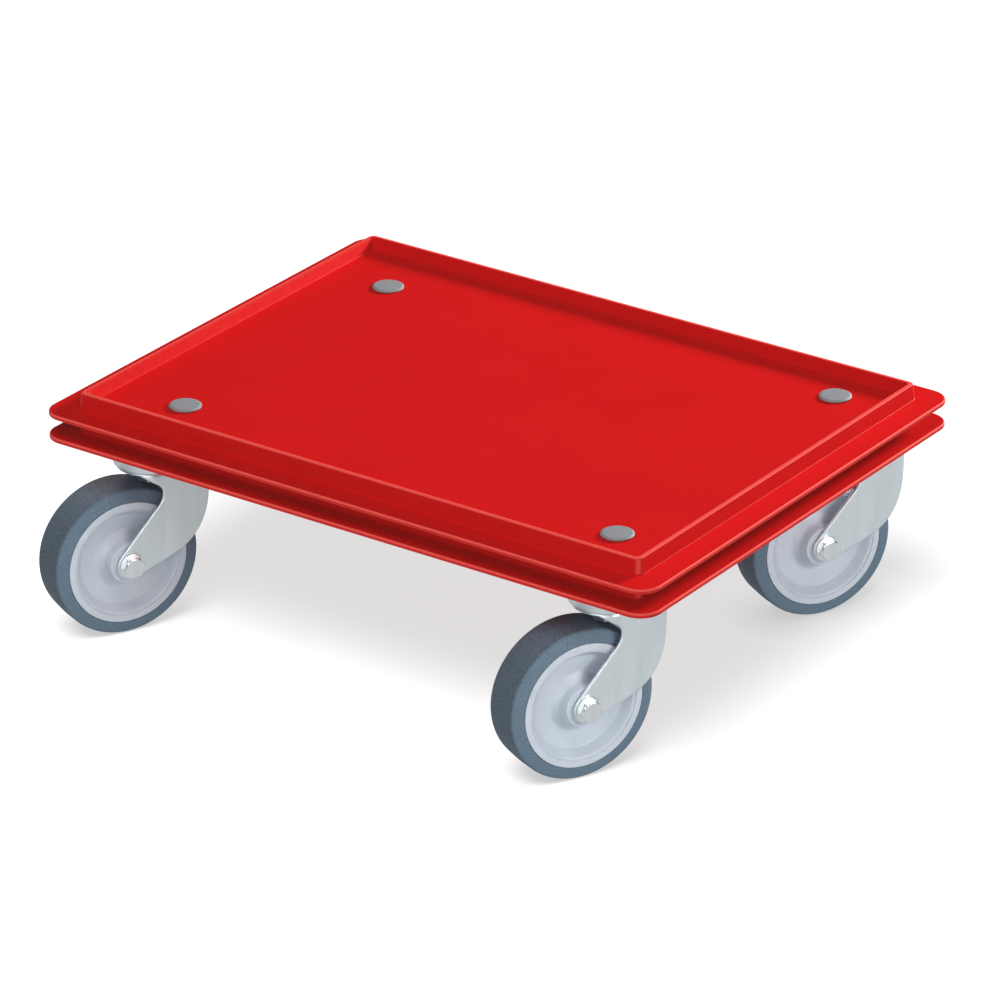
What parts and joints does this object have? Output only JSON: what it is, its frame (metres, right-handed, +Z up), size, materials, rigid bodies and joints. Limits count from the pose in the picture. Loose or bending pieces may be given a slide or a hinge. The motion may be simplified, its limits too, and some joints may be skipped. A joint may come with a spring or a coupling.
{
  "type": "crate dolly",
  "caption": "Low plastic crate dolly: a shallow tray deck with a raised rim and two outward brims, carried on swivel castors with grey wheels.",
  "frame": {"origin": "on the floor, at the middle of the footprint that the deck and the trailing wheels cover together; the deck centre is 16.3 mm behind it", "axes": "+X along the long side of the deck to the right, +Y to the back, +Z up"},
  "size_m": [0.4598, 0.3827, 0.1545],
  "materials": {
    "deck_plastic": "satin red, fine moulded grain",
    "board": "bare plywood",
    "cap_plastic": "satin light grey",
    "wheel_plastic": "satin pale blue grey",
    "tyre_rubber": "matte blue grey thermoplastic rubber",
    "zinc": "satin zinc plate on pressed steel",
    "bright_zinc": "bright zinc plate"
  },
  "bodies": {
    "deck": {"upper_tray": "deck_plastic", "base_tray": "deck_plastic", "core_board": "board", "head_cup_front_right": "zinc", "ball_cage_front_right": "zinc", "kingpin_front_right": "zinc", "mounting_bolt_front_right": "zinc", "mounting_nut_front_right": "zinc", "mounting_washer_front_right": "zinc", "tray_screw_front_right": "bright_zinc", "cover_cap_front_right": "cap_plastic", "head_cup_front_left": "zinc", "ball_cage_front_left": "zinc", "kingpin_front_left": "zinc", "mounting_bolt_front_left": "zinc", "mounting_nut_front_left": "zinc", "mounting_washer_front_left": "zinc", "tray_screw_front_left": "bright_zinc", "cover_cap_front_left": "cap_plastic", "head_cup_back_right": "zinc", "ball_cage_back_right": "zinc", "kingpin_back_right": "zinc", "mounting_bolt_back_right": "zinc", "mounting_nut_back_right": "zinc", "mounting_washer_back_right": "zinc", "tray_screw_back_right": "bright_zinc", "cover_cap_back_right": "cap_plastic", "head_cup_back_left": "zinc", "ball_cage_back_left": "zinc", "kingpin_back_left": "zinc", "mounting_bolt_back_left": "zinc", "mounting_nut_back_left": "zinc", "mounting_washer_back_left": "zinc", "tray_screw_back_left": "bright_zinc", "cover_cap_back_left": "cap_plastic"},
    "castor_front_right": {"fork_front_right": "zinc", "axle_bolt_front_right": "bright_zinc", "axle_nut_front_right": "bright_zinc", "axle_sleeve_front_right": "zinc"},
    "wheel_front_right": {"wheel_body_front_right": "wheel_plastic", "tyre_front_right": "tyre_rubber"},
    "castor_front_left": {"fork_front_left": "zinc", "axle_bolt_front_left": "bright_zinc", "axle_nut_front_left": "bright_zinc", "axle_sleeve_front_left": "zinc"},
    "wheel_front_left": {"wheel_body_front_left": "wheel_plastic", "tyre_front_left": "tyre_rubber"},
    "castor_back_right": {"fork_back_right": "zinc", "axle_bolt_back_right": "bright_zinc", "axle_nut_back_right": "bright_zinc", "axle_sleeve_back_right": "zinc"},
    "wheel_back_right": {"wheel_body_back_right": "wheel_plastic", "tyre_back_right": "tyre_rubber"},
    "castor_back_left": {"fork_back_left": "zinc", "axle_bolt_back_left": "bright_zinc", "axle_nut_back_left": "bright_zinc", "axle_sleeve_back_left": "zinc"},
    "wheel_back_left": {"wheel_body_back_left": "wheel_plastic", "tyre_back_left": "tyre_rubber"}
  },
  "joints": [
    {"name": "swivel_front_right", "type": "hinge", "parent": "deck", "child": "castor_front_right", "pos_m": [0.174, -0.1202, 0.108], "axis": [0, 0, 1], "continuous": true},
    {"name": "wheel_spin_front_right", "type": "hinge", "parent": "castor_front_right", "child": "wheel_front_right", "pos_m": [0.16406, -0.14105, 0.05], "axis": [0.9026, -0.4305, 0], "continuous": true},
    {"name": "swivel_front_left", "type": "hinge", "parent": "deck", "child": "castor_front_left", "pos_m": [-0.174, -0.1202, 0.108], "axis": [0, 0, 1], "continuous": true},
    {"name": "wheel_spin_front_left", "type": "hinge", "parent": "castor_front_left", "child": "wheel_front_left", "pos_m": [-0.18416, -0.14094, 0.05], "axis": [0.898, -0.4399, 0], "continuous": true},
    {"name": "swivel_back_right", "type": "hinge", "parent": "deck", "child": "castor_back_right", "pos_m": [0.174, 0.1528, 0.108], "axis": [0, 0, 1], "continuous": true},
    {"name": "wheel_spin_back_right", "type": "hinge", "parent": "castor_back_right", "child": "wheel_back_right", "pos_m": [0.16301, 0.13248, 0.05], "axis": [0.8796, -0.4756, 0], "continuous": true},
    {"name": "swivel_back_left", "type": "hinge", "parent": "deck", "child": "castor_back_left", "pos_m": [-0.174, 0.1528, 0.108], "axis": [0, 0, 1], "continuous": true},
    {"name": "wheel_spin_back_left", "type": "hinge", "parent": "castor_back_left", "child": "wheel_back_left", "pos_m": [-0.18449, 0.13222, 0.05], "axis": [0.891, -0.454, 0], "continuous": true}
  ]
}
